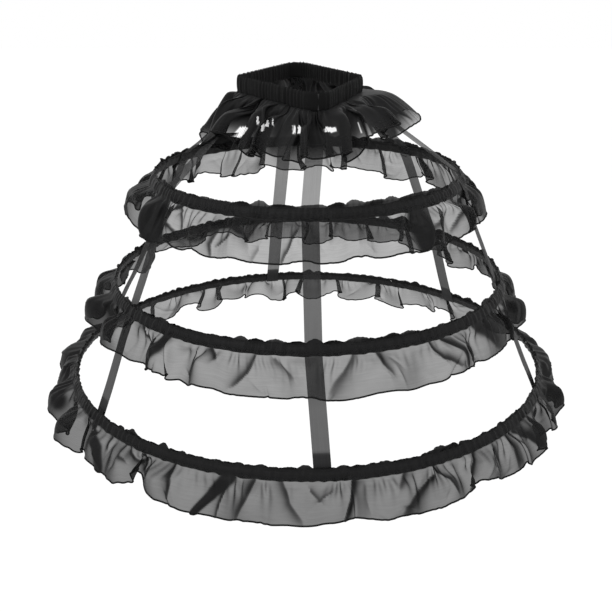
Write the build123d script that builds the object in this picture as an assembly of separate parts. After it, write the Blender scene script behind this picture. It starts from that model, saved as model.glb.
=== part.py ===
from build123d import *
import os
from math import ceil, cos, degrees, hypot, radians, sin

os.makedirs("parts", exist_ok=True)

# Frame: millimetres, origin in the middle of the waist opening at the top edge of the
# waistband, +Z up. The front faces -Y and an azimuth of 0 is the front, growing to +X.

# Waist opening: a rounded rhombus, as the band falls when it hangs from four points
waist_tips = {"front": (11, -145), "right": (68, 0), "back": (-16, 137), "left": (-88, 0)}
waist_corner = 15
band_height = 22
band_thick = 4.0
band_wall = 0.9
elastic_height = 18
elastic_thick = 1.5

# Hoops: radius and drop below the waist, all three level with each other
hoop_radius = {"top": 200, "middle": 260, "bottom": 320}
hoop_drop = {"top": 125, "middle": 263, "bottom": 386}
slope = 25
casing_height = 16
casing_thick = 4.6
casing_wall = 0.8
casing_play = 0.3  # between the ferrule and the casing's inner wall
casing_round = 1.2

# Flat steel boning in the casings, its two ends butted in a crimped ferrule
bone_width = 10
bone_thick = 1.2
bone_round = 0.4
bone_gap = 1.0
ferrule_length = 32
ferrule_wall = 0.5
ferrule_play = 0.1
ferrule_round = 0.6
dimple_size = 3.0
dimple_depth = 0.4
joint_azimuth = {"top": 160, "middle": 165, "bottom": 155}

# Ruffles: sewn on the outer face of the casings, with a short gathered heading
heading = 3
ruffle_thick = 1.6
ruffle_out = 34
ruffle_down = 56
ruffle_clear = 3.0  # from the tapes behind out to the hem, at least
waist_ruffle_out = {"front": 42, "right": 74, "back": 56, "left": 62}
waist_ruffle_corner = 92
waist_ruffle_drop = 42
ruffle_top_thick = 2.0
waist_hem_thick = 2.4

# Tapes: the corner each starts from and how far on towards the next one, then the
# azimuth of the tape at each hoop
tape_width = 20
tape_thick = 0.8
tape_turn = 3.0  # straight fall below the waistband
tape_margin = 1.0  # how far above a casing's edges a tape bends
tape_step = 25  # between the sections of a tape
sewn_gap = 0.3
tapes = {
    "front": ("front", 0.0, (0.8, 1.4, 2.9)),
    "front_right": ("right", 0.0, (85, 77, 70)),
    "back_right": ("right", 0.18, (134, 131, 133)),
    "back": ("back", 0.0, (190, 191, 191)),
    "back_left": ("back", 0.62, (242, 249, 254)),
    "front_left": ("left", 0.12, (302, 303, 306)),
}

# The boning lies in its ferrule, and the ferrule against the inner wall of the casing
ferrule_inside = (bone_width + 2 * ferrule_play, bone_thick + 2 * ferrule_play)
ferrule_outside = [size + 2 * ferrule_wall for size in ferrule_inside]
bone_out = casing_wall + casing_play + ferrule_outside[1] / 2 - casing_thick / 2


def corner_centre(name, radius, reach=0.0):
    """Centre of a rounded corner whose tip lies reach beyond the waist line's tip."""
    tip = Vector(*waist_tips[name])
    return tip + tip.normalized() * (reach - radius)


def outline(radius, grow, z, reach=None):
    """The hull of a circle in each corner, grown by an even margin, as a face at z."""
    circles = []
    for name in waist_tips:
        centre = corner_centre(name, radius, reach[name] if reach else 0.0)
        circles.append(Edge.make_circle(radius + grow, Plane((centre.X, centre.Y, 0))))
    return Pos(0, 0, z) * make_hull(circles).face()


def waist_ring(inner, outer, z_low, z_high):
    """A ring between two outlines that run beside the waist line."""
    tall = Vector(0, 0, z_high - z_low)
    outside = Solid.extrude(outline(waist_corner, outer, z_low), tall)
    return outside - Solid.extrude(outline(waist_corner, inner, z_low), tall)


def make_waistband():
    """A folded casing with a closed pocket, and the flat elastic in that pocket."""
    half = band_thick / 2
    band = waist_ring(-half, half, -band_height, 0)
    pocket = waist_ring(-half + band_wall, half - band_wall,
                        -band_height + band_wall, -band_wall)
    middle = -band_height / 2
    elastic = waist_ring(-elastic_thick / 2, elastic_thick / 2,
                         middle - elastic_height / 2, middle + elastic_height / 2)
    return band - pocket, elastic


def make_waist_ruffle():
    """A flared skirt under the outer half of the waistband."""
    top = -band_height - sewn_gap
    low = top - waist_ruffle_drop
    half = band_thick / 2
    skins = []
    for top_inset, hem_inset, past in ((0, 0, 0), (ruffle_top_thick, waist_hem_thick, 0.01)):
        waist = outline(waist_corner, half - top_inset, top + past)
        hem = outline(waist_ruffle_corner, -hem_inset, low - past, waist_ruffle_out)
        skins.append(Solid.make_loft([waist.outer_wire(), hem.outer_wire()], ruled=True))
    return skins[0] - skins[1]


def section_point(name, along, out):
    """Radius and height of a point given along the slope and out from the casing."""
    s, c = sin(radians(slope)), cos(radians(slope))
    return (hoop_radius[name] + along * s + out * c,
            -hoop_drop[name] - along * c + out * s)


def slanted_rectangle(name, height, thick, round_by=0.0, middle=0.0):
    """A rectangle on the slope, its middle a little out from the casing's."""
    corners = [(-height / 2, -thick / 2), (height / 2, -thick / 2),
               (height / 2, thick / 2), (-height / 2, thick / 2)]
    points = [section_point(name, along, middle + out) for along, out in corners]
    face = make_face(Plane.XZ * Polyline(*points, close=True)).face()
    if round_by:
        face = face.fillet_2d(round_by, face.vertices())
    return face


def spin(face, start, arc):
    """Revolve a section that is drawn at azimuth 90, from one azimuth over an arc."""
    ring = Solid.revolve(face, arc, Axis.Z)
    return Rot(0, 0, start - 90) * ring


def make_casing(name):
    """A flat fabric tube lying on the slope of the skirt, closed all round."""
    tube = slanted_rectangle(name, casing_height, casing_thick, casing_round)
    pocket = slanted_rectangle(name, casing_height - 2 * casing_wall,
                               casing_thick - 2 * casing_wall)
    return Solid.revolve(tube, 360, Axis.Z) - Solid.revolve(pocket, 360, Axis.Z)


def make_boning(name):
    """An open ring of flat steel with rounded edges, its ends a small gap apart."""
    gap = degrees(bone_gap / hoop_radius[name])
    strip = slanted_rectangle(name, bone_width, bone_thick, bone_round, bone_out)
    return spin(strip, joint_azimuth[name] + gap / 2, 360 - gap)


def make_ferrule(name):
    """A flat sleeve over both ends, with two pairs of crimp dimples."""
    arc = degrees(ferrule_length / hoop_radius[name])
    start = joint_azimuth[name] - arc / 2
    outside = slanted_rectangle(name, *ferrule_outside, ferrule_round, bone_out)
    inside = slanted_rectangle(name, *ferrule_inside, bone_round, bone_out)
    sleeve = spin(outside, start, arc) - spin(inside, start - 1, arc + 2)
    depth = (ferrule_outside[1] + dimple_size) / 2 - dimple_depth
    for side in (-1, 1):
        azimuth = radians(joint_azimuth[name] + side * arc / 4 - 90)
        for face_of in (-1, 1):
            r, z = section_point(name, 0, bone_out + face_of * depth)
            sleeve -= Pos(r * cos(azimuth), r * sin(azimuth), z) * Sphere(dimple_size / 2)
    return sleeve


def tape_points(name):
    """Where a tape's middle passes the two edges of a casing, as radius and height."""
    sagitta = (tape_width / 2) ** 2 / (2 * hoop_radius[name])
    out = -(casing_thick / 2 + sewn_gap + sagitta + tape_thick / 2)
    return [section_point(name, along - tape_margin, out)
            for along in (-casing_height / 2, casing_height / 2)]


def hem_radius(name, level):
    """The hem's radius: its own reach, or clear of the tapes to the next hoop down."""
    radius = hoop_radius[name] + ruffle_out
    names = list(hoop_radius)
    if name == names[-1]:
        return radius
    r_top, z_top = tape_points(name)[1]
    r_low, z_low = tape_points(names[names.index(name) + 1])[0]
    tape = r_top + (r_low - r_top) * (level - z_top) / (z_low - z_top)
    return max(radius, tape + ruffle_clear)


def ruffle_path(name):
    """Heading, sewn band and straight flare to the hem, as radius and height."""
    out = casing_thick / 2 + sewn_gap
    level = -hoop_drop[name] - ruffle_down
    return [section_point(name, -casing_height / 2 - heading, out),
            section_point(name, casing_height / 2, out),
            (hem_radius(name, level), level)]


def make_ruffle(name):
    """One strip in section: a line offset outward by its thickness, then revolved."""
    path = ruffle_path(name)
    outer = []
    for i, (r, z) in enumerate(path):
        a = path[max(i - 1, 0)]
        b = path[min(i + 1, len(path) - 1)]
        run = hypot(b[0] - a[0], b[1] - a[1])
        outer.append((r - (b[1] - a[1]) / run * ruffle_thick,
                      z + (b[0] - a[0]) / run * ruffle_thick))
    face = make_face(Plane.XZ * Polyline(*path, *reversed(outer), close=True)).face()
    return Solid.revolve(face, 360, Axis.Z)


def tape_station(centre, across, normal):
    """A thin rectangle at a point, wide along across and thick along normal."""
    a = across.normalized() * (tape_width / 2)
    n = normal.normalized() * (tape_thick / 2)
    corners = [centre - a - n, centre + a - n, centre + a + n, centre - a + n]
    return Wire.make_polygon(corners, close=True)


def side_normal(here, there):
    """The outward direction of the straight wall between two corners."""
    side = (there - here).normalized()
    return Vector(side.Y, -side.X, 0)


def flat_reach(turn, wall):
    """How far out a flat tape lies in a corner, one edge just inside a side's wall."""
    half = tape_width / 2
    beside = (wall - half * sin(turn)) / cos(turn)
    if half * cos(turn) > beside * sin(turn):
        return beside
    return (wall ** 2 - half ** 2) ** 0.5


def tape_start(corner, part):
    """Where a tape hangs under the inner half of the waistband, and how it faces."""
    names = list(waist_tips)
    i = names.index(corner)
    before, here, there = [corner_centre(names[(i + step) % 4], waist_corner)
                           for step in (-1, 0, 1)]
    wall = waist_corner + band_thick / 2 - ruffle_top_thick - sewn_gap
    if part:
        normal, reach = side_normal(here, there), wall
    else:
        normal = Vector(*waist_tips[corner]).normalized()
        sides = [side_normal(before, here), side_normal(here, there)]
        reach = min(flat_reach(radians(normal.get_angle(side)), wall) for side in sides)
    return here + (there - here) * part + normal * (reach - tape_thick / 2), normal


def make_tape(corner, part, azimuths):
    """A ribbon from under the waistband, flat behind each casing to the last hoop."""
    start, normal = tape_start(corner, part)
    top = start - Vector(0, 0, band_height + sewn_gap)
    across = Vector(-normal.Y, normal.X, 0)
    route = [(top, across, normal), (top - Vector(0, 0, tape_turn), across, normal)]
    for name, azimuth in zip(hoop_radius, azimuths):
        t = radians(azimuth)
        across = Vector(cos(t), sin(t), 0)
        facing = Vector(sin(t), -cos(t), 0) * cos(radians(slope))
        facing += Vector(0, 0, sin(radians(slope)))
        route += [(Vector(r * sin(t), -r * cos(t), z), across, facing)
                  for r, z in tape_points(name)]
    stations = []
    for here, there in zip(route, route[1:]):
        steps = ceil((there[0] - here[0]).length / tape_step)
        for i in range(steps):
            stations.append([a + (b - a) * (i / steps) for a, b in zip(here, there)])
    stations.append(route[-1])
    return Solid.make_loft([tape_station(*station) for station in stations], ruled=True)


def make_all():
    band, elastic = make_waistband()
    pieces = {"waistband": band, "waist_elastic": elastic,
              "waist_ruffle": make_waist_ruffle()}
    for name, (corner, part, azimuths) in tapes.items():
        pieces["tape_" + name] = make_tape(corner, part, azimuths)
    for name in hoop_radius:
        pieces["casing_" + name] = make_casing(name)
        pieces["ruffle_" + name] = make_ruffle(name)
        pieces["boning_" + name] = make_boning(name)
        pieces["ferrule_" + name] = make_ferrule(name)
    return pieces


for node, shape in make_all().items():
    export_step(shape, "parts/" + node + ".step")
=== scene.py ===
import math
import bpy
import numpy as np
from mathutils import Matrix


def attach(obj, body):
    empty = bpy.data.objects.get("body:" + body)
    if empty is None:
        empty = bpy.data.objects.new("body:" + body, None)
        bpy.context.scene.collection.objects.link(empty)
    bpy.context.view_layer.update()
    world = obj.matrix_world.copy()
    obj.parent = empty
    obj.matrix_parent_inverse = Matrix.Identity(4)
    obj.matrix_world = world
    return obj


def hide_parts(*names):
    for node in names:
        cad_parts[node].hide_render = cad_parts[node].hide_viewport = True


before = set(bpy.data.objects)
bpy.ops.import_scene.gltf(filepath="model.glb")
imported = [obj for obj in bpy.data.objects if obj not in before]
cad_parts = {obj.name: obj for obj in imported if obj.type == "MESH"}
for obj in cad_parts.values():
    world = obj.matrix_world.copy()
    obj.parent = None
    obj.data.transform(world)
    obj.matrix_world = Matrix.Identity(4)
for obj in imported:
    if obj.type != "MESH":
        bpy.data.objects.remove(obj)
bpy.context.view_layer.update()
bpy.ops.object.select_all(action="DESELECT")
print("frame loaded")

mm = 0.001
fullTurn = 2 * math.pi

# The cage's main sizes in metres, as in the solids, but for the casings' upper edge,
# which lies 1.2 mm lower here. A hoop is (radius, height), and the tips of the waist
# opening are its front, right, back and left.
cage = {
    "hoops": {"top": (0.200, -0.125), "middle": (0.260, -0.263), "bottom": (0.320, -0.386)},
    "slope": math.radians(25),
    "casingTop": 0.0068,
    "casingBottom": 0.008,
    "casingThick": 0.0046,
    "bandHeight": 0.022,
    "bandThick": 0.004,
    "waistTips": [(0.011, -0.145), (0.068, 0.0), (-0.016, 0.137), (-0.088, 0.0)],
    "waistCorner": 0.015,
}


# Small helpers for closed strips of cloth
def ringNoise(dice, count, length, shortWave, longWave, parts=16):
    # waves of many lengths between two limits, closed on themselves, with a spread of one
    place = np.arange(count) / count
    cycles = dice.integers(max(1, round(length / longWave)), round(length / shortWave) + 1, parts)
    phase = dice.uniform(0, fullTurn, parts)
    total = sum(np.sin(fullTurn * k * place + p) for k, p in zip(cycles, phase))
    return total / total.std()


def dropSlow(values, cycles):
    # takes the slow drift out of a closed signal
    bands = np.fft.rfft(values)
    bands[:cycles] = 0
    return np.fft.irfft(bands, len(values))


def runningMean(values, reach):
    # each value's mean with its neighbours on a closed line, reach places each way
    padded = np.concatenate([values[len(values) - reach:], values, values[:reach]])
    return np.convolve(padded, np.ones(2 * reach + 1) / (2 * reach + 1), "valid")


def turnsFrom(place, azimuth):
    # the share of a full turn between an azimuth in degrees and each place on a loop
    return (place - azimuth / 360 + 0.5) % 1 - 0.5


def bumpAt(place, azimuth, width):
    return np.exp(-(turnsFrom(place, azimuth) * 360 / width) ** 2)


def outwards(turn):
    # level and away from the middle: front at zero, growing to the right
    return np.stack([np.sin(turn), -np.cos(turn)], -1)


def unit(vectors, spare=0.0):
    # vectors made one long, with a little to spare where one could have no length
    return vectors / (np.linalg.norm(vectors, axis=1)[:, None] + spare)


def walkedAlong(points, closed=False):
    # how far each point lies along its line, and the way back to the first on a closed one
    points = np.array(points)
    if closed:
        points = np.vstack([points, points[:1]])
    return np.append(0, np.cumsum(np.linalg.norm(np.diff(points, axis=0), axis=1)))


def hoopLoop(radius):
    def at(part):
        out = outwards(fullTurn * part)
        return radius * out, out
    return at, fullTurn * radius


def bandLoop(corner, reach, arcPoints=25):
    # the waist line: four round corners and the straight sides between them
    tips = np.array(cage["waistTips"])
    centres = tips + unit(tips) * (np.array(reach)[:, None] - corner)
    sides = np.roll(centres, -1, 0) - centres
    facing = np.unwrap(np.arctan2(-sides[:, 0], sides[:, 1]))
    points, angles = [], []
    for i in range(4):
        start = facing[i - 1] - (fullTurn if i == 0 else 0)
        for turn in np.linspace(start, facing[i], arcPoints):
            points.append(centres[i] + corner * np.array([math.cos(turn), math.sin(turn)]))
            angles.append(turn)
    walked = walkedAlong(points, closed=True)
    points = np.vstack([points, points[:1]])
    angles = np.append(angles, angles[0] + fullTurn)
    length = walked[-1]
    first = np.interp(-math.pi / 2, angles, walked)

    def at(part):
        here = (first + part * length) % length
        turn = np.interp(here, walked, angles)
        spot = np.stack([np.interp(here, walked, points[:, i]) for i in (0, 1)], -1)
        return spot, np.stack([np.cos(turn), np.sin(turn)], -1)
    return at, length


def sheetObject(name, grid, across, along, closed, material):
    # a grid of rows and columns made into a sheet, its UV map in metres of cloth
    rows, columns = grid.shape[:2]
    last = columns if closed else columns - 1
    row, column = np.meshgrid(np.arange(rows - 1), np.arange(last), indexing="ij")
    row, column = row.ravel(), column.ravel()
    beside = (column + 1) % columns
    faces = np.stack([row * columns + column, (row + 1) * columns + column,
                      (row + 1) * columns + beside, row * columns + beside], 1)
    mesh = bpy.data.meshes.new(name)
    mesh.from_pydata(grid.reshape(-1, 3).tolist(), [], faces.tolist())
    left, right = along[column], along[column + 1]
    upper, lower = across[row], across[row + 1]
    corners = [np.stack(pair, 1) for pair in ((left, upper), (left, lower), (right, lower), (right, upper))]
    uvs = mesh.uv_layers.new(name="cloth")
    uvs.data.foreach_set("uv", np.stack(corners, 1).astype(np.float32).ravel())
    mesh.polygons.foreach_set("use_smooth", np.ones(len(faces), bool))
    mesh.materials.append(material)
    mesh.update()
    piece = bpy.data.objects.new(name, mesh)
    bpy.context.collection.objects.link(piece)
    return piece


def tubeObject(name, grid, across, along, material):
    # a closed sheet whose last row lies on its first: the two are merged into one tube
    piece = sheetObject(name, grid, across, along, True, material)
    bpy.context.view_layer.objects.active = piece
    piece.select_set(True)
    bpy.ops.object.mode_set(mode="EDIT")
    bpy.ops.mesh.select_all(action="SELECT")
    bpy.ops.mesh.remove_doubles(threshold=1e-6)
    bpy.ops.mesh.normals_make_consistent(inside=False)
    bpy.ops.object.mode_set(mode="OBJECT")
    piece.select_set(False)
    return piece


def setLayersAndShade(piece, layers):
    # how many layers of cloth lie at each vertex, with painted shade of creases and folds added as layers,
    # read by the sheer material
    counts = piece.data.attributes.new("layersAndShade", "FLOAT", "POINT")
    counts.data.foreach_set("value", layers.astype(np.float32).ravel())


# Materials
def freshMaterial(name):
    material = bpy.data.materials.new(name)
    material.use_nodes = True
    tree = material.node_tree
    return material, tree, tree.nodes["Principled BSDF"]


def mathNode(tree, operation, first, second=0.0, clamp=False):
    node = tree.nodes.new("ShaderNodeMath")
    node.operation = operation
    node.use_clamp = clamp
    for socket, value in zip(node.inputs, (first, second)):
        if isinstance(value, (int, float)):
            socket.default_value = value
        else:
            tree.links.new(value, socket)
    return node.outputs[0]


def clothPlace(tree, stretch):
    coords = tree.nodes.new("ShaderNodeTexCoord")
    mapping = tree.nodes.new("ShaderNodeMapping")
    mapping.inputs["Scale"].default_value = stretch
    tree.links.new(coords.outputs["UV"], mapping.inputs["Vector"])
    return mapping.outputs["Vector"]


def noiseOf(tree, place, scale, detail):
    noise = tree.nodes.new("ShaderNodeTexNoise")
    noise.inputs["Scale"].default_value = scale
    noise.inputs["Detail"].default_value = detail
    tree.links.new(place, noise.inputs["Vector"])
    return noise.outputs["Fac"]


def clothNoise(tree, alongScale, acrossScale, detail):
    return noiseOf(tree, clothPlace(tree, (alongScale, acrossScale, 1)), 1.0, detail)


def threadsOf(tree, pitch):
    # crossing threads: the product of two fine waves over the cloth
    place = tree.nodes.new("ShaderNodeSeparateXYZ")
    tree.links.new(clothPlace(tree, (fullTurn / pitch, fullTurn / pitch, 1)), place.inputs[0])
    warp = mathNode(tree, "SINE", place.outputs["X"])
    weft = mathNode(tree, "SINE", place.outputs["Y"])
    return mathNode(tree, "MULTIPLY", warp, weft)


def bumpFrom(tree, shader, height, distance, strength):
    bump = tree.nodes.new("ShaderNodeBump")
    bump.inputs["Distance"].default_value = distance
    bump.inputs["Strength"].default_value = strength
    tree.links.new(height, bump.inputs["Height"])
    tree.links.new(bump.outputs["Normal"], shader.inputs["Normal"])


def tintBetween(tree, shader, factor, dark, light):
    ramp = tree.nodes.new("ShaderNodeMix")
    ramp.data_type = "RGBA"
    ramp.inputs["A"].default_value = (*dark, 1)
    ramp.inputs["B"].default_value = (*light, 1)
    tree.links.new(factor, ramp.inputs["Factor"])
    tree.links.new(ramp.outputs["Result"], shader.inputs["Base Color"])


def clothSurface(shader, roughness, specular, sheen, sheenRoughness):
    shader.inputs["Roughness"].default_value = roughness
    shader.inputs["Specular IOR Level"].default_value = specular
    shader.inputs["Sheen Weight"].default_value = sheen
    shader.inputs["Sheen Roughness"].default_value = sheenRoughness


# How unevenly sheer cloth lets light through, as shares of its light: by its threads, in
# soft clouds and in streaks along it. A layer is never seen flatter than leastSlant.
sheerness = {"threads": 0.05, "clouds": 0.12, "streaks": 0.35, "leastSlant": 0.12}


def sheerCloth(name, passed, pitch, tone, sheen, angled=0.6, grain=(26, 700)):
    # black see-through cloth: passed is the share of light one layer lets through head on,
    # and a layer seen slantwise hides more, as its threads close up
    material, tree, shader = freshMaterial(name)
    streaks = clothNoise(tree, *grain, 3)
    clouds = clothNoise(tree, 45, 60, 2)
    tintBetween(tree, shader, streaks, [tone * 0.75] * 3, [tone * 1.3, tone * 1.3, tone * 1.36])
    clothSurface(shader, 0.5, 0.08, sheen, 0.35)
    # the layers at each vertex, with the painted shade of creases and folds added to them
    layersAndShadeNode = tree.nodes.new("ShaderNodeAttribute")
    layersAndShadeNode.attribute_name = "layersAndShade"
    facing = tree.nodes.new("ShaderNodeLayerWeight")
    facing.inputs["Blend"].default_value = 0.5
    slant = mathNode(tree, "SUBTRACT", 1.0, facing.outputs["Facing"])
    slant = mathNode(tree, "MAXIMUM", slant, sheerness["leastSlant"])
    layers = mathNode(tree, "ADD", 1 - angled, mathNode(tree, "DIVIDE", angled, slant))
    layers = mathNode(tree, "MULTIPLY", layers, layersAndShadeNode.outputs["Fac"])
    through = mathNode(tree, "POWER", passed, layers)
    uneven = mathNode(tree, "MULTIPLY", threadsOf(tree, pitch), sheerness["threads"])
    for noise, share in ((clouds, sheerness["clouds"]), (streaks, sheerness["streaks"])):
        part = mathNode(tree, "MULTIPLY", mathNode(tree, "SUBTRACT", noise, 0.5), share)
        uneven = mathNode(tree, "ADD", uneven, part)
    through = mathNode(tree, "MULTIPLY", through, mathNode(tree, "ADD", 1.0, uneven))
    hidden = mathNode(tree, "SUBTRACT", 1.0, through, clamp=True)
    tree.links.new(hidden, shader.inputs["Alpha"])
    bumpFrom(tree, shader, streaks, 0.0002, 0.6)
    return material


def denseCloth(name, tone, pitch, roughness, sheen, pucker):
    material, tree, shader = freshMaterial(name)
    weave = threadsOf(tree, pitch)
    worn = clothNoise(tree, 120, 120, 4)
    tintBetween(tree, shader, worn, [tone * 0.7] * 3, [tone * 1.45, tone * 1.45, tone * 1.5])
    clothSurface(shader, roughness, 0.10, sheen, 0.4)
    puckers = clothNoise(tree, pucker, 30, 2)
    height = mathNode(tree, "ADD", mathNode(tree, "MULTIPLY", weave, 0.12), puckers)
    bumpFrom(tree, shader, height, 0.0007, 0.7)
    return material


def metalFinish(name, colour, metallic, roughness, scale):
    material, tree, shader = freshMaterial(name)
    coords = tree.nodes.new("ShaderNodeTexCoord")
    mottle = noiseOf(tree, coords.outputs["Object"], scale, 4)
    tintBetween(tree, shader, mottle, [c * 0.85 for c in colour], colour)
    shader.inputs["Metallic"].default_value = metallic
    shader.inputs["Roughness"].default_value = roughness
    bumpFrom(tree, shader, mottle, 0.0001, 0.4)
    return material


finishes = {
    "organza": sheerCloth("organza", passed=0.42, pitch=0.0006, tone=0.008, sheen=0.02),
    "ribbon": sheerCloth("ribbon", passed=0.30, pitch=0.0008, tone=0.018, sheen=0.02, angled=0.25,
                         grain=(900, 9)),
    "hemThread": denseCloth("hemThread", 0.007, 0.0008, 0.8, 0.02, 900),
    "casing": denseCloth("casingSatin", 0.007, 0.0005, 0.5, 0.03, 260),
    "band": denseCloth("bandCloth", 0.004, 0.0007, 0.8, 0.01, 200),
    "elastic": denseCloth("elasticWeave", 0.03, 0.0010, 0.8, 0.2, 500),
    "boning": metalFinish("coatedSteel", (0.80, 0.80, 0.78), 0.0, 0.35, 180),
    "ferrule": metalFinish("crimpedSteel", (0.62, 0.62, 0.60), 1.0, 0.32, 260),
}
print("materials made")

solidFinishes = {"waist_elastic": "elastic"}
for hoop in cage["hoops"]:
    for kind in ("boning", "ferrule"):
        solidFinishes[kind + "_" + hoop] = kind
for name, finish in solidFinishes.items():
    node = bpy.data.objects[name]
    node.data.materials.clear()
    node.data.materials.append(finishes[finish])

# Ribbons: each hangs from a corner of the waist and how far on towards the next, and has
# an azimuth at each hoop. Plies are how many layers show, by the drop below the waist.
tapes = {
    "settings": {
        "width": 0.020,
        "rows": 150,
        "columns": 9,
        "sewnGap": 0.0003,
        "halfThick": 0.0004,
        "start": (0.0002, -0.003),  # heights from the band's lower edge: sewn, and let go
        "behindCasing": 0.00095,
        "held": (-0.009, 0.007),  # flat against a casing from above its middle to below it
        "twist": {"front_right": (13, 9, 4)},  # degrees, in each free span
        "thin": {"back": 0.72},
        "bow": 0.0012,  # between the places where it is held, in waves along its length
        "bowWaves": 9,
        "stiffEnds": 0.03,
        "curl": 0.0007,
        "plies": ([0.0, 0.12, 0.15, 0.366, 0.370, 0.45], [1.0, 1.0, 1.6, 1.9, 5, 5]),
    },
    "front": (0, 0.0, (0.8, 1.4, 2.9)),
    "front_right": (1, 0.0, (85, 77, 70)),
    "back_right": (1, 0.18, (134, 131, 133)),
    "back": (2, 0.0, (190, 191, 191)),
    "back_left": (2, 0.62, (242, 249, 254)),
    "front_left": (3, 0.12, (302, 303, 306)),
}
tapeNames = [name for name in tapes if name != "settings"]


def slantPoint(hoop, along, out):
    # radius and height of a point down a hoop's slope and out from it
    radius, height = cage["hoops"][hoop]
    rise, run = math.sin(cage["slope"]), math.cos(cage["slope"])
    return radius + along * rise + out * run, height - along * run + out * rise


def tapeStations(corner, part, azimuths):
    # centre, direction across and outward direction at each place the tape is held
    settings = tapes["settings"]
    tips = np.array(cage["waistTips"])
    away = unit(tips)
    centres = tips - away * cage["waistCorner"]
    sides = unit(np.roll(centres, -1, 0) - centres)
    walls = np.stack([sides[:, 1], -sides[:, 0]], 1)
    here, there = centres[corner], centres[(corner + 1) % 4]
    inside = cage["waistCorner"] - settings["sewnGap"]
    reach = inside
    normal = walls[corner] if part else away[corner]
    if not part:  # in a corner its two edges stop at the straight sides
        for wall in (walls[corner - 1], walls[corner]):
            lean = float(normal @ wall)
            reach = min(reach, (inside - settings["width"] / 2 * math.sqrt(1 - lean * lean)) / lean)
    start = here + (there - here) * part + normal * (reach - settings["halfThick"])
    stations = []
    for above in settings["start"]:
        stations.append(([*start, above - cage["bandHeight"]], [-normal[1], normal[0], 0], [*normal, 0]))
    behind = -(cage["casingThick"] / 2 + settings["behindCasing"])
    rise, run = math.sin(cage["slope"]), math.cos(cage["slope"])
    for hoop, azimuth in zip(cage["hoops"], azimuths):
        turn = math.radians(azimuth)
        right, ahead = math.sin(turn), -math.cos(turn)
        for along in settings["held"]:
            r, z = slantPoint(hoop, along, behind)
            facing = [run * right, run * ahead, rise]
            stations.append(([r * right, r * ahead, z], [-ahead, right, 0], facing))
    return [np.array(list(column), float) for column in zip(*stations)]


tapeLines = {name: tapeStations(*tapes[name]) for name in tapeNames}

# Cloth that would cut through a ribbon is pushed out to a clearance from it, also over a
# margin at each side, and by ever less, down to give, over a fade beyond. Cloth deeper than
# deepest inside is left. Settle is how far under the band it starts and how fast it grows.
passing = {"clearance": 0.0018, "margin": 0.003, "fade": 0.010, "give": 0.02, "deepest": 0.03,
           "settle": (0.002, 0.008)}


def keepOutside(points):
    half = tapes["settings"]["width"] / 2 + passing["margin"]
    under, over = passing["settle"]
    for centres, across, _ in tapeLines.values():
        levels = centres[::-1, 2]
        z = np.clip(points[..., 2], levels[0], levels[-1])
        middle = np.stack([np.interp(z, levels, centres[::-1, i]) for i in (0, 1)], -1)
        side = np.stack([np.interp(z, levels, across[::-1, i]) for i in (0, 1)], -1)
        out = np.stack([side[..., 1], -side[..., 0]], -1)
        offset = points[..., :2] - middle
        beside = np.abs((offset * side).sum(-1))
        ahead = (offset * out).sum(-1)
        eased = np.clip((beside - half) / passing["fade"], 0, 1) ** 2
        wanted = passing["clearance"] - eased * passing["give"]
        near = (beside < half + passing["fade"]) & (ahead > -passing["deepest"]) & (ahead < wanted)
        push = np.where(near, wanted - ahead, 0)
        push *= np.clip((-cage["bandHeight"] - under - points[..., 2]) / over, 0, 1)
        points[..., :2] += out * push[..., None]
    return points


def makeTape(name):
    settings = tapes["settings"]
    dice = np.random.default_rng(len(name))
    walked = walkedAlong(tapeLines[name][0])
    length = walked[-1]
    here = np.linspace(0, length, settings["rows"])
    line, side, out = [np.stack([np.interp(here, walked, values[:, i]) for i in range(3)], -1)
                       for values in tapeLines[name]]
    side = unit(side)
    twist = np.zeros((settings["rows"], 1))
    for span, angle in enumerate(settings["twist"].get(name, ())):
        first, last = walked[2 * span + 1], walked[2 * span + 2]
        twist[:, 0] += math.radians(angle) * np.sin(math.pi * np.clip((here - first) / (last - first), 0, 1))
    side, out = side * np.cos(twist) + out * np.sin(twist), out * np.cos(twist) - side * np.sin(twist)
    free = np.clip(np.abs(here[:, None] - walked).min(1) / settings["stiffEnds"], 0, 1)
    bow = settings["bow"] * free * np.sin(here / length * settings["bowWaves"] + dice.uniform(0, 6))
    line = line - out * np.abs(bow)[:, None]
    columns = np.linspace(-0.5, 0.5, settings["columns"])
    curl = settings["curl"] * free[:, None] * (columns ** 2 * 4)[None, :] * dice.choice([-1, 1])
    grid = line[:, None, :] + side[:, None, :] * (columns * settings["width"])[None, :, None]
    grid = grid - out[:, None, :] * curl[..., None]
    piece = sheetObject("ribbon_" + name, grid, here, (columns + 0.5) * settings["width"],
                        False, finishes["ribbon"])
    plies = np.interp(-line[:, 2], *settings["plies"]) * settings["thin"].get(name, 1)
    setLayersAndShade(piece, np.repeat(plies, settings["columns"]))
    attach(piece, "root")
    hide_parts("tape_" + name)


for name in tapeNames:
    makeTape(name)
print("tapes made")

# Every ruffle is a straight strip gathered to a loop, which opens out in waves and folds.
gathering = {
    "step": 0.0016,  # along the strip, between two columns
    "slowWave": 0.25,  # longer waves are taken out, so that the strip stays on its loop
    "foldTurn": 1.45,  # radians to each side
    "foldSharp": 0.0022,
    "tries": 30,  # halvings, to find how strongly the waves take up the fullness
    "waveGrowth": 0.8,
    "pucker": (1.2, 3.5),  # how strong at the gathers, and how fast it dies out
    "aside": (0.25, 4),  # share of the waves' swing at the gathers, and how fast it grows
    "strayTop": (3, 9),
    "strayHem": (6, 15),
    "straySlant": (-12, 12),
    "creaseReach": (0.006, 0.018),
    "creaseDepth": (0.0015, 0.0042),
    "creaseFlank": 0.0022,
    "pinchDepth": 0.0008,
    "hemRadius": 0.0010,
    "hemSides": 6,
}


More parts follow.
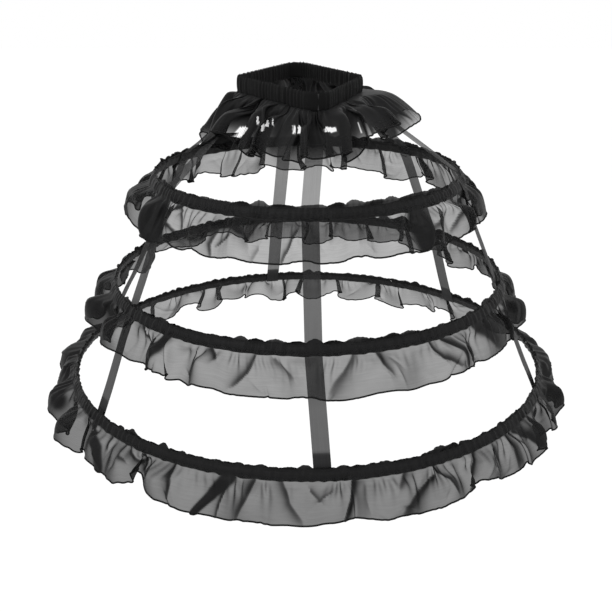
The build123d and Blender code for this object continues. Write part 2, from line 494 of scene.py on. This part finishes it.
def foldTurn(folds, place, cut, t):
    # how far the cloth is turned by its folds: right back over a fold's size, then on again
    turn = np.zeros(len(place))
    sharp = gathering["foldSharp"]
    for azimuth, atTop, atHem, slant, way in folds:
        half = (atTop + (atHem - atTop) * t) * mm / 2
        apart = turnsFrom(place, azimuth) * cut - slant * mm * t
        pulse = np.tanh((apart + half) / sharp) - np.tanh((apart - half) / sharp)
        turn += way * gathering["foldTurn"] * pulse
    return turn


def pinchAndShadeStrength(pinchesAndShades, place, levels, cut, drop):
    # how strongly the cloth is pinched or doubled over, which is also the painted shade laid
    # there as extra layers: each line runs over the cloth through (azimuth, level) points, from
    # one half width to another in mm, with soft or sharp edges
    total = np.zeros((len(levels), len(place)))
    down = levels[:, None] * drop
    for points, first, last, amount, edge in pinchesAndShades:
        line = np.zeros_like(total)
        steps = len(points) - 1
        for i, ((startAt, startLevel), (endAt, endLevel)) in enumerate(zip(points, points[1:])):
            x = (turnsFrom(place, startAt) * cut)[None, :]
            y = down - startLevel * drop
            goX, goY = (endAt - startAt) / 360 * cut, (endLevel - startLevel) * drop
            share = np.clip((x * goX + y * goY) / (goX ** 2 + goY ** 2), 0, 1)
            bend = 0.0006 * np.sin(down / 0.005 + startAt)  # a slight waver
            away = np.hypot(x + bend - share * goX, y - share * goY)
            passed = (i + share) / steps
            half = (first + (last - first) * passed) * mm
            if edge > 5:  # doubled cloth with two clear edges, its extra layers partly the fold's own and partly painted shade
                line = np.maximum(line, 1 / (1 + (away / half) ** edge))
            else:  # a crease's painted shade, sharp on one side and soft on the other
                soft = (x * goY - y * goX > 0) == (startAt > 0)
                fade = np.sqrt(1 - 0.9 * passed ** 3)
                shade = 1 / (1 + (away / (half * np.where(soft, 1.5, 0.6))) ** np.where(soft, 2, 5))
                line = np.maximum(line, fade * shade)
        total += amount * line
    return total


def addStrays(ruffle, dice):
    # folds at chance places round the back, one to each equal part of it
    first, last = ruffle["strayRange"]
    every = (last - first) / ruffle["strays"]
    return [(first + every * (i + dice.uniform(0.1, 0.9)), dice.uniform(*gathering["strayTop"]),
             dice.uniform(*gathering["strayHem"]), dice.uniform(*gathering["straySlant"]),
             dice.choice([-1, 1])) for i in range(ruffle["strays"])]


def addCreases(dice, many, along, cut, rows, drop):
    # short sharp ridges in the cloth, each a line with steep flanks that fades at its ends
    down = np.linspace(0, drop, rows + 1)[:, None]
    total = np.zeros((rows + 1, len(along)))
    for _ in range(many):
        angle = dice.choice([-1, 1]) * dice.uniform(0.3, 1.5)
        reach = dice.uniform(*gathering["creaseReach"])
        depth = dice.choice([-1, 1]) * dice.uniform(*gathering["creaseDepth"])
        x = (along[None, :] - dice.uniform(0, cut) + cut / 2) % cut - cut / 2
        y = down - dice.uniform(0.05, 1.0) * drop
        over = x * math.sin(angle) + y * math.cos(angle)
        beside = x * math.cos(angle) - y * math.sin(angle)
        total += depth * np.exp(-np.abs(beside) / gathering["creaseFlank"]) * np.exp(-(over / reach) ** 2)
    total[0] = 0
    return total


def smoothOut(grid):
    grid[1:-1] = (grid[:-2] + 2 * grid[1:-1] + grid[2:]) / 4
    return (np.roll(grid, 1, 1) + 2 * grid + np.roll(grid, -1, 1)) / 4


def takeUp(loose, turn, wanted):
    # the waves made as strong as they have to be for the strip to come out wanted times its cut
    low, high = 0.0, 3.0
    for _ in range(gathering["tries"]):
        strength = (low + high) / 2
        if np.cos(strength * loose + turn).mean() > wanted:
            low = strength
        else:
            high = strength
    return turn + strength * loose


def openOut(ruffle, loops, rows, startZ, keepOut=True):
    # the loose part of a ruffle, row by row from its gathered edge to its hem
    dice = np.random.default_rng(ruffle["seed"])
    step, drop = gathering["step"], ruffle["drop"]
    (puckered, dying), (least, growing) = gathering["pucker"], gathering["aside"]
    cut = loops(0.0)[1] * ruffle["fullness"]
    count = int(round(cut / step))
    place = np.arange(count) / count
    slowest = max(2, int(cut / gathering["slowWave"]))
    wave = ringNoise(dice, count, cut, *ruffle["wave"])
    pucker = ringNoise(dice, count, cut, *ruffle["pucker"])
    for azimuth, width, share in ruffle["calm"]:
        wave *= 1 - share * bumpAt(place, azimuth, width)
        pucker *= 1 - 0.5 * share * bumpAt(place, azimuth, width)
    folds = ruffle["folds"] + addStrays(ruffle, dice)
    lifted = sum(lift * mm * bumpAt(place, azimuth, width) for azimuth, width, lift in ruffle["lifts"])
    stepDown = (drop - lifted) / rows
    grid = np.zeros((rows + 1, count, 3))
    height = np.full(count, startZ)
    for j in range(rows + 1):
        t = j / rows
        at, length = loops(t)
        loose = wave * t ** gathering["waveGrowth"] + pucker * math.exp(-dying * t) * puckered
        turn = takeUp(loose, foldTurn(folds, place, cut, t), length / cut)
        forward = np.cumsum(np.cos(turn))
        part = place + dropSlow(forward / forward[-1] - (place + 1 / count), slowest)
        sideways = np.sin(turn)
        aside = dropSlow(np.cumsum(sideways - sideways.mean()) * step, slowest)
        aside = aside * min(1.0, least + growing * t)
        for azimuth, width, reach, early in ruffle["lobes"]:
            aside = aside + reach * mm * bumpAt(place, azimuth, width) * t ** early
        spot, out = at(part % 1)
        grid[j, :, :2] = spot + out * aside[:, None]
        if j:  # a row falls by what its step outwards leaves of the cloth
            level = np.linalg.norm(grid[j, :, :2] - grid[j - 1, :, :2], axis=1)
            fall = np.sqrt(np.maximum(stepDown ** 2 - level ** 2, (ruffle["flattest"] * stepDown) ** 2))
            height = height - runningMean(fall, ruffle["even"])
        grid[j, :, 2] = height
    grid = smoothOut(grid)
    levels = np.linspace(0, 1, rows + 1)
    ridges = addCreases(dice, ruffle["creases"], place * cut, cut, rows, drop)
    # the pinches raise a small ridge in the cloth here and, as extra layers later on, paint shade along
    # creases and folds
    pinchedAndShaded = pinchAndShadeStrength(ruffle["pinchesAndShades"], place, levels, cut, drop)
    ridges = ridges + gathering["pinchDepth"] * pinchedAndShaded * levels[:, None]
    grid[..., :2] += loops(0.5)[0](place)[1] * ridges[..., None]
    return keepOutside(grid) if keepOut else grid, cut, count, pinchedAndShaded


def finishRuffle(node, grid, across, cut, layers):
    along = np.linspace(0, cut, grid.shape[1] + 1)
    piece = sheetObject("organza_" + node, grid, across, along, True, finishes["organza"])
    setLayersAndShade(piece, layers)
    hem = hemCord("rolledHem_" + node, grid[-1])
    for part in (piece, hem):
        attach(part, "root")
    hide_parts(node)


def hemCord(name, path):
    # the rolled hem: a thin tube laid along the last row
    radius, sides = gathering["hemRadius"], gathering["hemSides"]
    ahead = unit(np.roll(path, -1, 0) - np.roll(path, 1, 0), 1e-12)
    side = unit(np.cross(ahead, [0, 0, 1.0]), 1e-9)
    up = np.cross(side, ahead)
    turns = (np.arange(sides) / sides * fullTurn)[:, None, None]
    grid = path + radius * (np.cos(turns) * side + np.sin(turns) * up)
    grid = np.concatenate([grid, grid[:1]])
    around = np.linspace(0, fullTurn * radius, sides + 1)
    return tubeObject(name, grid, around, walkedAlong(path, closed=True), finishes["hemThread"])


# The hoops' ruffles. Lean is how many degrees the strip stands from upright at its casing
# and at its hem, flattest the least share of each step that it falls, and even how many
# columns each way level it out. Waves and puckers lie between two lengths. Front and back
# are layers of cloth, sides the share added to them there, and strays and creases are
# folds and ridges at chance places. In the lists, azimuths and their half widths are in
# degrees and sizes in mm:
# a calm is (azimuth, half width, share taken off the waves),
# a lobe is (azimuth, half width, how far it bulges, how early on the way to the hem),
# a lift is (azimuth, half width, how far the hem is drawn up),
# a fold is (azimuth, its size at the gathers and at the hem, slant, way),
# a pinch is (its line of (azimuth, level) points, half width at its start and at its end,
# share of layers added, which is painted shade along a crease and partly painted shade over
# doubled cloth, edge: over 5 for doubled cloth, less for a crease),
# and a puff is (azimuth, size along, height), where the heading stands up.
ruffles = {
    "all": {
        "lean": (44, 10), "flattest": 0.4, "even": 0, "pucker": (0.012, 0.022), "back": 0.9,
        "sides": 0.8,
    },
    "top": {
        "seed": 11, "fullness": 1.5, "drop": 0.05, "heading": 0.002, "front": 0.8, "wave": (0.06, 0.12),
        "strays": 16, "strayRange": (90, 270), "creases": 60,
        "calm": [(0, 38, 0.6)],
        "lobes": [(-75, 18, 8, 0.7)],
        "lifts": [(-61, 7, -8), (-78, 7, 5), (20, 20, 3)],
        "folds": [
            (-90, 8, 16, 4, 1), (31, 3, 5, 6, -1), (58, 5, 12, 6, -1), (70, 9, 18, 5, 1),
            (82, 9, 20, -6, -1),
        ],
        "pinchesAndShades": [
            ([(-59, -0.1), (-57, 0.5), (-54, 1)], 24, 22, 4, 10),
            ([(-92, 0.3), (-78, 0.7), (-72, 1)], 3, 2, 3, 3),
            ([(-44, 0), (-49, 0.5), (-41, 0.7)], 2.5, 1.5, 4, 5),
            ([(-44, 0), (-41, 0.6)], 1.2, 1, 3, 5), ([(-29, 0.4), (-30, 0.7), (-29, 1)], 3, 1.5, 3, 3),
            ([(-23, 0.5), (-28, 0.75)], 1.5, 1.2, 2, 3), ([(-21, 0.1), (-17.6, 0.7)], 9, 4, 1, 4),
            ([(-3, 0.3), (-6, 0.75), (-7.5, 1)], 1.3, 1.6, 3, 3),
            ([(-14.4, 0.7), (-16, 1)], 2, 2, 1, 2), ([(15.8, 0), (14.4, 0.6)], 3, 3, 1, 2),
            ([(8.6, 0.1), (6.5, 0.5)], 3, 2, 1, 2),
            ([(36.2, -0.1), (37, 0.4), (38.5, 0.85)], 17, 10, 5, 8),
            ([(47.4, 0.3), (40, 0.55)], 1.6, 2.5, 3, 3), ([(60, 0), (51, 0.75)], 2, 1.6, 3, 4),
            ([(67, 0.1), (57, 0.65)], 2.5, 2.5, 3, 3),
        ],
        "puffs": [
            (-60, 30, 4), (16, 34, 2.5), (27, 30, 3), (38, 24, 4), (47, 24, 4), (140, 60, 4),
            (-140, 60, 3),
        ],
    },
    "middle": {
        "seed": 23, "fullness": 1.45, "drop": 0.048, "heading": 0.0014, "front": 1.12,
        "wave": (0.07, 0.14), "strays": 17, "strayRange": (92, 268), "creases": 80,
        "calm": [(0, 38, 0.6)],
        "lobes": [(-80, 14, 3, 0.7), (78, 14, -4, 1)],
        "lifts": [(-45, 8, 4), (44, 6, 6), (8, 4, -2), (152, 16, 8), (-151, 8, 22), (-132, 12, 14)],
        "folds": [
            (-84, 9, 18, 4, -1), (-75, 9, 20, -6, 1), (-64, 8, 12, 6, 1), (-36, 2, 6, 14, 1),
            (39, 2, 4, 8, 1), (62, 8, 14, 6, 1), (74, 9, 18, 4, -1), (84, 9, 16, 4, 1),
        ],
        "pinchesAndShades": [
            ([(-37.2, -0.05), (-37.6, 0.3), (-40, 0.6), (-41, 1)], 11, 5, 4, 8),
            ([(-47.7, 0), (-44.5, 0.35)], 1.8, 1.2, 3, 3), ([(-24, 0), (-21.5, 0.28)], 2, 1, 3, 3),
            ([(-12.3, 0.05), (-14.6, 0.45), (-17.5, 0.8)], 1.5, 2.5, 2.5, 3),
            ([(-7.5, 0.1), (-4, 0.55)], 3, 2.5, 1, 2),
            ([(10.6, 0), (9.2, 0.4), (5.5, 0.85)], 3, 5, 1.6, 2),
            ([(16.9, 0), (17.8, 0.3), (19.5, 0.6)], 4, 1.5, 2.2, 3),
            ([(31.3, 0), (33, 0.45), (36.5, 0.8)], 1.5, 2.5, 3, 3),
            ([(35, 0), (37.6, 0.4), (39, 0.9)], 3, 3, 3.5, 4),
            ([(48.4, -0.05), (53, 0.4), (55.5, 0.8)], 12, 9, 3, 5),
            ([(-70, 0), (-61, 0.4), (-58, 0.95)], 9, 5, 3.5, 4),
            ([(-82, -0.2), (-80, 0.5)], 14, 14, 2.5, 6), ([(-161, -0.1), (-160, 0.9)], 14, 5, 1.6, 6),
            ([(-138, 0.3), (-155, 0.4)], 18, 16, 1.8, 6),
        ],
        "puffs": [
            (14, 18, 3), (21, 18, 3), (27, 16, 2), (-160, 60, 4), (-116, 16, 9), (144, 17, 8),
            (151, 14, 4), (160, 16, 3), (-58, 30, 5), (60, 30, 5),
        ],
    },
    "bottom": {
        "seed": 37, "fullness": 1.45, "drop": 0.048, "heading": 0.0014, "front": 1.45,
        "wave": (0.08, 0.15), "strays": 19, "strayRange": (94, 266), "creases": 90,
        "calm": [(0, 38, 0.45)],
        "lobes": [(-108, 20, 22, 0.5), (-70, 10, 4, 1), (84, 18, -6, 1), (108, 18, 17, 0.5)],
        "lifts": [(-34, 5, 18), (9.5, 3, 7), (36, 5, 14), (-48, 5, 4)],
        "folds": [
            (-92, 7, 12, 4, 1), (-66, 6, 10, 4, 1), (-56, 8, 13, 4, -1), (-36, 2, 7, -6, -1),
            (-26, 1, 3, 4, 1), (8.5, 3, 5, 2, 1), (35, 2, 6, -8, -1), (48, 7, 12, 8, 1),
            (57, 8, 12, -5, -1), (66, 8, 12, 6, 1), (76, 9, 18, 4, -1), (86, 9, 18, -4, 1),
        ],
        "pinchesAndShades": [
            ([(-53, 0.05), (-47.5, 0.45), (-46.4, 0.9)], 3.5, 7, 4, 8),
            ([(-45.7, 0), (-45.5, 0.35)], 1.4, 1, 2, 3),
            ([(-41.3, 0), (-41.7, 0.15), (-39.3, 0.4)], 1.6, 1.2, 2, 3),
            ([(-39.6, -0.05), (-37.7, 0.25), (-35, 0.6), (-36.3, 0.9)], 1.6, 4, 2, 3),
            ([(-34.7, 0.2), (-33.8, 0.75), (-31, 0.9)], 1.6, 1.6, 2.5, 3),
            ([(-26.9, -0.05), (-25.8, 0.4), (-25.5, 0.9)], 2.5, 1.2, 3, 4),
            ([(-15.6, -0.05), (-19, 0.45), (-21.8, 1)], 8, 3, 4, 8),
            ([(-16.4, 0.15), (-17.3, 0.5), (-18, 1)], 1.2, 1, 2.5, 3),
            ([(-10.3, 0), (-11.5, 0.35), (-13.6, 0.95)], 2.5, 3, 2, 2),
            ([(-4.7, 0), (-3.3, 0.5), (-0.9, 0.9)], 3, 3.5, 1.3, 2),
            ([(9.4, -0.05), (8, 0.55), (6.5, 1)], 2, 1.6, 4, 4),
            ([(0.7, 0.2), (2.6, 0.45), (4.5, 0.25)], 1.5, 1.5, 1.2, 2),
            ([(24.8, 0.2), (19.8, 0.6), (17.4, 1)], 2, 5, 2.2, 2),
            ([(25.6, 0), (27.7, 0.4), (28.6, 0.8)], 2.5, 1.5, 2.5, 3),
            ([(19, 0), (17.1, 0.35)], 2.5, 1.5, 1.6, 2),
            ([(36.1, -0.05), (34.6, 0.65), (32.3, 1)], 2, 2, 3.5, 4),
            ([(41.3, 0.15), (42, 0.5)], 2, 1.5, 2, 2),
            ([(50.2, 0), (53.4, 0.4), (54.4, 0.8)], 5, 4, 3, 3),
            ([(46.2, 0), (46.4, 0.4), (46.2, 0.9)], 2, 3, 2, 3),
            ([(-80, -0.1), (-72, 0.5)], 14, 10, 2.5, 6), ([(72, -0.2), (78, 0.5)], 12, 12, 2.5, 6),
            ([(-118, 0.2), (-78, 0.5)], 30, 26, 1.8, 6), ([(104, 0.2), (80, 0.4)], 24, 22, 1.4, 6),
        ],
        "puffs": [(-40, 14, 5), (29, 26, 4), (50, 30, 3), (-70, 60, 4), (72, 60, 4)],
    },
}

# How a strip is sewn on: its lines are shares of the heading, then of the casing's height
sewing = {
    "lines": (1.0, 0.75, 0.5, 0.25, 0.0, -0.35, -0.7),
    "rows": 24,  # of the loose part
    "off": 0.0006,  # from the solid casing's face
    "fine": (0.010, 0.024),  # shortest and longest waves
    "ragged": (0.005, 0.012),
    "lumps": (0.035, 0.12),
    "crimp": (0.0005, 0.0002),  # at the casing, and how much less at the edge
    "lumpOut": 0.0010,
    "lumpUp": 0.0016,
    "raggedUp": 0.00015,
    "edgeDown": 0.0012,
    "headingOut": (0.0011, 0.0014),  # at the casing, and how much more at the edge
    "casingOut": 0.0003,
    "puffOut": 0.5,  # of a puff's height
    "lumpLayers": (0.28, -0.5, 1.6),  # share added by a lump, and the lumps' limits
    "edgeLayers": 3.8,
    "doubled": ((0, 0.007, 0.013), (5.5, 5, 1.2)),  # ways below the heading, layers there
}


def hoopRuffle(hoop):
    ruffle = {**ruffles["all"], **ruffles[hoop]}
    dice = np.random.default_rng(ruffle["seed"] + 100)
    upper, lower, heading = cage["casingTop"], cage["casingBottom"], ruffle["heading"]
    outFace = cage["casingThick"] / 2 + sewing["off"]
    startR, startZ = slantPoint(hoop, lower, outFace)
    steep, hanging = np.radians(ruffle["lean"])
    rows, drop = sewing["rows"], ruffle["drop"]

    def loops(t):
        leaning = steep + (hanging - steep) * np.linspace(0, t, 20)
        return hoopLoop(startR + drop * t * np.sin(leaning).mean())

    loose, cut, count, pinchedAndShaded = openOut(ruffle, loops, rows, startZ, hoop != "bottom")
    place = np.arange(count) / count
    turn = fullTurn * place
    fine, ragged, lump = [ringNoise(dice, count, cut, *sewing[kind]) for kind in ("fine", "ragged", "lumps")]
    stand = np.zeros(count)
    for azimuth, width, height in ruffle["puffs"]:
        stand += height * mm * np.exp(-(turnsFrom(place, azimuth) * cut / (width * mm)) ** 2)
    (atCasing, less), (out, more) = sewing["crimp"], sewing["headingOut"]
    thicker, lowest, highest = sewing["lumpLayers"]
    raised = ragged * sewing["raggedUp"] + np.abs(lump) * sewing["lumpUp"] - sewing["edgeDown"] + stand
    sewn, across = [], []
    for share in sewing["lines"]:
        above = max(share, 0)
        along = -upper - heading * above if share >= 0 else -upper - share * (upper + lower)
        crimp = fine * (atCasing - less * above) + lump * sewing["lumpOut"] * above
        reach = out + more * above if share >= 0 else outFace + sewing["casingOut"]
        reach = reach + stand * sewing["puffOut"] * math.sin(math.pi * min(above, 0.8))
        r, z = slantPoint(hoop, along, reach)
        ring = np.zeros((count, 3))
        ring[:, :2] = outwards(turn) * (r + crimp)[:, None]
        ring[:, 2] = z + above * raised
        sewn.append(ring)
        across.append(upper + heading + along)
    grid = np.concatenate([np.array(sewn), loose])
    across = np.append(across, upper + lower + heading + np.arange(rows + 1) * drop / rows)
    layers = ruffle["back"] + (ruffle["front"] - ruffle["back"]) * (0.5 + 0.5 * np.cos(turn)) ** 2
    layers = layers * (1 + ruffle["sides"] * np.sin(turn) ** 8)
    below, doubled = sewing["doubled"]
    doubled = np.interp(across, [0, *(heading + b for b in below)], [sewing["edgeLayers"], *doubled])
    layers = doubled[:, None] * layers
    layers[:5] *= 1 + thicker * np.clip(lump, lowest, highest)  # on the heading alone
    # painted shade: the pinches' extra layers darken the loose cloth along creases and over doubled folds
    layers[-rows - 1:] *= 1 + pinchedAndShaded
    finishRuffle("ruffle_" + hoop, grid, across, cut, layers)


for hoop in cage["hoops"]:
    hoopRuffle(hoop)
print("hoop ruffles made")

view = {"place": (-0.002, -1.1665, 0.15085), "down": 21.77, "lens": 52.94}

# The waist ruffle hangs in pipes. Reach is how far it stands out at the front, right, back
# and left, at its top and its hem, and corner its corners' radius there. Fading is (levels,
# layers) from the top to the hem, thin (azimuth, half width, share taken off) and behind
# (how far round it starts, share added). An open is a thin place between two pipes as it
# is seen from the view: (right, up, width, height in thousandths of the distance, lean).
waistRuffle = {
    "seed": 5, "fullness": 2.7, "drop": 0.068, "rows": 30, "flattest": 0.08, "even": 7,
    "reach": ((0.0, 0.0, 0.0, 0.0), (0.034, 0.056, 0.042, 0.036)), "corner": (0.015, 0.08),
    "wave": (0.045, 0.1), "pucker": (0.01, 0.02), "strays": 7, "strayRange": (132, 275), "creases": 30,
    "layers": 1.7, "fading": ([0, 0.3, 0.6, 0.85, 1], [8, 5, 2.8, 1.2, 0.7]), "thin": (88, 14, 0.65),
    "behind": (0.33, 2.5), "tucked": 0.002,
    "calm": [(72, 12, 0.9), (84, 14, 1), (98, 16, 1)],
    "lobes": [(88, 24, 18, 0.45), (-84, 16, 4, 1.6)],
    "lifts": [(-38, 12, -10), (4, 8, 9), (22, 6, -6), (-82, 16, -16), (88, 22, -14)],
    "folds": [
        (-72, 8, 16, 4, 1), (-55, 7, 18, 6, -1), (-38, 6, 10, -6, 1), (-26, 5, 14, 4, -1),
        (-15, 5, 9, -3, 1), (-5, 5, 12, 3, -1), (6, 5, 14, 4, 1), (17, 6, 10, -4, -1),
        (28, 6, 16, 3, 1), (42, 8, 12, 8, -1), (54, 7, 14, -8, 1),
    ],
    "pinchesAndShades": [
        ([(76, 0.3), (66, 0.8), (60, 1)], 4, 4, 3, 4), ([(70, 0.4), (78, 0.9)], 3, 3, 2, 4),
        ([(-82, 0.3), (-66, 0.7)], 24, 26, 2.2, 6),
    ],
    "open": [
        (-73, 193, 13, 14, 0.8), (-53.7, 206.5, 4.5, 12, 0), (-47.8, 198, 6, 11, 0.2),
        (-42.4, 203, 5, 12, 0), (-37, 204.5, 4, 11, 0), (-13.4, 196.5, 5, 12, 0),
        (-7.4, 195.5, 4.5, 11, 0), (26.5, 196, 16, 7, 0), (60, 198, 2.6, 14, -0.4),
    ],
}


def thinGaps(grid, opens):
    # the share of cloth left at each point: almost none inside the gaps between the pipes
    apart = grid - np.array(view["place"])
    run, rise = math.cos(math.radians(view["down"])), math.sin(math.radians(view["down"]))
    depth = apart[..., 1] * run - apart[..., 2] * rise
    right, up = apart[..., 0] / depth, (apart[..., 1] * rise + apart[..., 2] * run) / depth
    left = np.ones(grid.shape[:2])
    for x, y, wide, high, lean in opens:
        below = (up - y * mm) / (high * mm / 2)
        beside = (right - x * mm - lean * (up - y * mm)) / (wide * mm / 2)
        left *= np.clip((beside ** 4 + below ** 4) * 4 - 3, 0.02, 1)
    return left


def makeWaistRuffle():
    ruffle = waistRuffle
    near, far = (np.array(reach) for reach in ruffle["reach"])
    tight, wide = ruffle["corner"]

    def loops(t):
        opened = t ** 0.9
        return bandLoop(tight + (wide - tight) * opened, near + (far - near) * opened)

    rows = ruffle["rows"]
    grid, cut, count, pinchedAndShaded = openOut(ruffle, loops, rows, ruffle["tucked"] - cage["bandHeight"])
    place, level = np.arange(count) / count, np.linspace(0, 1, rows + 1)
    layers = np.full((rows + 1, count), ruffle["layers"])
    layers *= np.interp(level, *ruffle["fading"])[:, None]
    layers *= thinGaps(grid, ruffle["open"])
    starts, added = ruffle["behind"]
    layers *= 1 + added * np.clip((np.abs(turnsFrom(place, 0)) - starts) * 20, 0, 1)
    # painted shade: the pinches' extra layers darken the cloth along creases and over doubled folds
    layers *= 1 + pinchedAndShaded
    azimuth, width, share = ruffle["thin"]
    layers *= 1 - share * bumpAt(place, azimuth, width) * np.clip((level - 0.3) * 4, 0, 1)[:, None]
    finishRuffle("waist_ruffle", grid, level * ruffle["drop"], cut, layers)


makeWaistRuffle()
print("waist ruffle made")

# Casings: flat sewn tubes on the slope, thick over the boning and thin at their edges
casings = {"edge": 0.0006, "bulge": 0.0022, "crimp": 0.0004, "crimpWave": (0.010, 0.04),
           "edgeWave": (0.02, 0.08), "edgeLift": 0.0003, "columns": 1100, "lines": 13}


def makeCasing(hoop):
    radius = cage["hoops"][hoop][0]
    dice = np.random.default_rng(int(radius * 1000))
    count = casings["columns"]
    turn = fullTurn * np.arange(count) / count
    length = fullTurn * radius
    ruck = ringNoise(dice, count, length, *casings["crimpWave"])
    edgeWave = ringNoise(dice, count, length, *casings["edgeWave"])
    middle = (cage["casingBottom"] - cage["casingTop"]) / 2
    half = (cage["casingBottom"] + cage["casingTop"]) / 2
    section = []
    steps = np.linspace(-1, 1, casings["lines"])
    for face, order in ((1, steps), (-1, steps[::-1][1:-1])):
        for a in order:
            thick = casings["edge"] + (casings["bulge"] - casings["edge"]) * (1 - abs(a) ** 8)
            thick = 0 if abs(a) == 1 else thick
            section.append((middle + a * half, face * thick, abs(a)))
    grid = np.zeros((len(section) + 1, count, 3))
    for i, (along, lift, edge) in enumerate(section):
        r, z = slantPoint(hoop, along, lift)
        swell = casings["crimp"] * ruck * (0.3 + edge)
        grid[i, :, :2] = outwards(turn) * (r + swell)[:, None]
        grid[i, :, 2] = z + edgeWave * casings["edgeLift"] * edge
    grid[-1] = grid[0]
    walked = walkedAlong([line[:2] for line in section], closed=True)
    piece = tubeObject("hoopCasing_" + hoop, grid, walked, np.append(turn, fullTurn) * radius,
                       finishes["casing"])
    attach(piece, "root")
    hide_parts("casing_" + hoop)


for hoop in cage["hoops"]:
    makeCasing(hoop)
print("casings made")

# Waistband: a ruched tube of cloth drawn up over the elastic, sewn shut by one seam
band = {"columns": 700, "lines": 12, "crimp": 0.00035, "crimpWave": (0.006, 0.018),
        "rimWave": (0.004, 0.012), "rimLift": 0.0004,
        "seamAt": 0.002, "seamWidth": 0.0010, "seamDepth": 0.0014,
        "flatHeight": 0.024, "fullness": 1.05}


def makeWaistband():
    dice = np.random.default_rng(3)
    at, length = bandLoop(cage["waistCorner"], (0, 0, 0, 0))
    count = band["columns"]
    place = np.arange(count) / count
    spot, out = at(place)
    ruck = ringNoise(dice, count, length, *band["crimpWave"], parts=60)
    rim = ringNoise(dice, count, length, *band["rimWave"], parts=60)
    high, half = cage["bandHeight"], cage["bandThick"] / 2
    section = []
    steps = np.linspace(0, 1, band["lines"])
    for face, order in ((1, steps), (-1, steps[::-1][1:-1])):
        for v in order:
            thick = min(1.0, math.sin(math.pi * v) ** 0.35) if 0 < v < 1 else 0.15
            section.append((-high * v, face * half * thick, v))
    seamPlace = turnsFrom(place, 360 * band["seamAt"] / length) * length
    seam = np.exp(-(seamPlace / band["seamWidth"]) ** 2)
    grid = np.zeros((len(section) + 1, count, 3))
    for i, (z, lift, v) in enumerate(section):
        ends = 1 - abs(2 * v - 1) ** 3
        side = 1 if lift >= 0 else -1
        swell = lift + side * (ruck * band["crimp"] * (0.35 + 0.65 * ends) - seam * band["seamDepth"])
        grid[i, :, :2] = spot + out * swell[:, None]
        grid[i, :, 2] = z + rim * band["rimLift"] * (1 - ends)
    grid[-1] = grid[0]
    walked = walkedAlong([line[:2] for line in section], closed=True)
    piece = tubeObject("waistbandCloth", grid, walked, np.append(place, 1) * length, finishes["band"])
    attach(piece, "root")
    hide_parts("waistband")


makeWaistband()
print("waistband made")

# Floor, light and camera. A lamp is (place, size, power).
stage = {
    "floorLevel": -1.5, "floorSize": 30, "floorTone": 0.92, "floorGlow": 1.08, "glowShare": 0.85,
    "worldLight": 0.8,
    "aim": (0, 0, -0.25),
    "lamps": {"keyLamp": ((-1.2, -1.5, 1.5), 1.2, 22), "fillLamp": ((1.6, -1.0, 0.9), 1.4, 9)},
}


def seenShare(tree):
    # one for a ray that shows the stage itself: straight, mirrored or through cloth
    rays = tree.nodes.new("ShaderNodeLightPath")
    seen = mathNode(tree, "MAXIMUM", rays.outputs["Is Camera Ray"], rays.outputs["Is Glossy Ray"])
    return mathNode(tree, "MAXIMUM", seen, rays.outputs["Is Transmission Ray"])


bpy.ops.mesh.primitive_plane_add(size=stage["floorSize"], location=(0, 0, stage["floorLevel"]))
floor = bpy.context.object
floor.name = "paleFloor"
floorMaterial, floorTree, floorShader = freshMaterial("palePaper")
floorShader.inputs["Base Color"].default_value = (*[stage["floorTone"]] * 3, 1)
floorShader.inputs["Roughness"].default_value = 0.9
glow = floorTree.nodes.new("ShaderNodeEmission")
glow.inputs["Color"].default_value = (1, 1, 1, 1)
glow.inputs["Strength"].default_value = stage["floorGlow"]
mixed = floorTree.nodes.new("ShaderNodeMixShader")
glowing = mathNode(floorTree, "MULTIPLY", seenShare(floorTree), stage["glowShare"])
floorTree.links.new(glowing, mixed.inputs[0])
floorTree.links.new(floorShader.outputs[0], mixed.inputs[1])
floorTree.links.new(glow.outputs[0], mixed.inputs[2])
floorTree.links.new(mixed.outputs[0], floorTree.nodes["Material Output"].inputs["Surface"])
floor.data.materials.append(floorMaterial)

world = bpy.data.worlds.new("studio")
bpy.context.scene.world = world
world.use_nodes = True
worldTree = world.node_tree
backdrop = worldTree.nodes["Background"]
backdrop.inputs["Color"].default_value = (1, 1, 1, 1)
extra = mathNode(worldTree, "MULTIPLY", seenShare(worldTree), 1 - stage["worldLight"])
worldTree.links.new(mathNode(worldTree, "ADD", extra, stage["worldLight"]), backdrop.inputs["Strength"])


def addLamp(name, place, size, power):
    bpy.ops.object.light_add(type="AREA", location=place)
    lamp = bpy.context.object
    lamp.name = name
    lamp.data.size = size
    lamp.data.energy = power
    direction = np.array(stage["aim"]) - np.array(place)
    flat = math.hypot(direction[0], direction[1])
    lamp.rotation_euler = (math.atan2(flat, -direction[2]), 0, math.atan2(-direction[0], direction[1]))


for name, lamp in stage["lamps"].items():
    addLamp(name, *lamp)

bpy.ops.object.camera_add(location=view["place"], rotation=(math.radians(90 - view["down"]), 0, 0))
camera = bpy.context.object
camera.data.lens = view["lens"]
camera.data.sensor_width = 36
bpy.context.scene.camera = camera
bpy.context.scene.view_settings.view_transform = "Standard"
bpy.context.scene.cycles.transparent_max_bounces = 24
print("stage set")
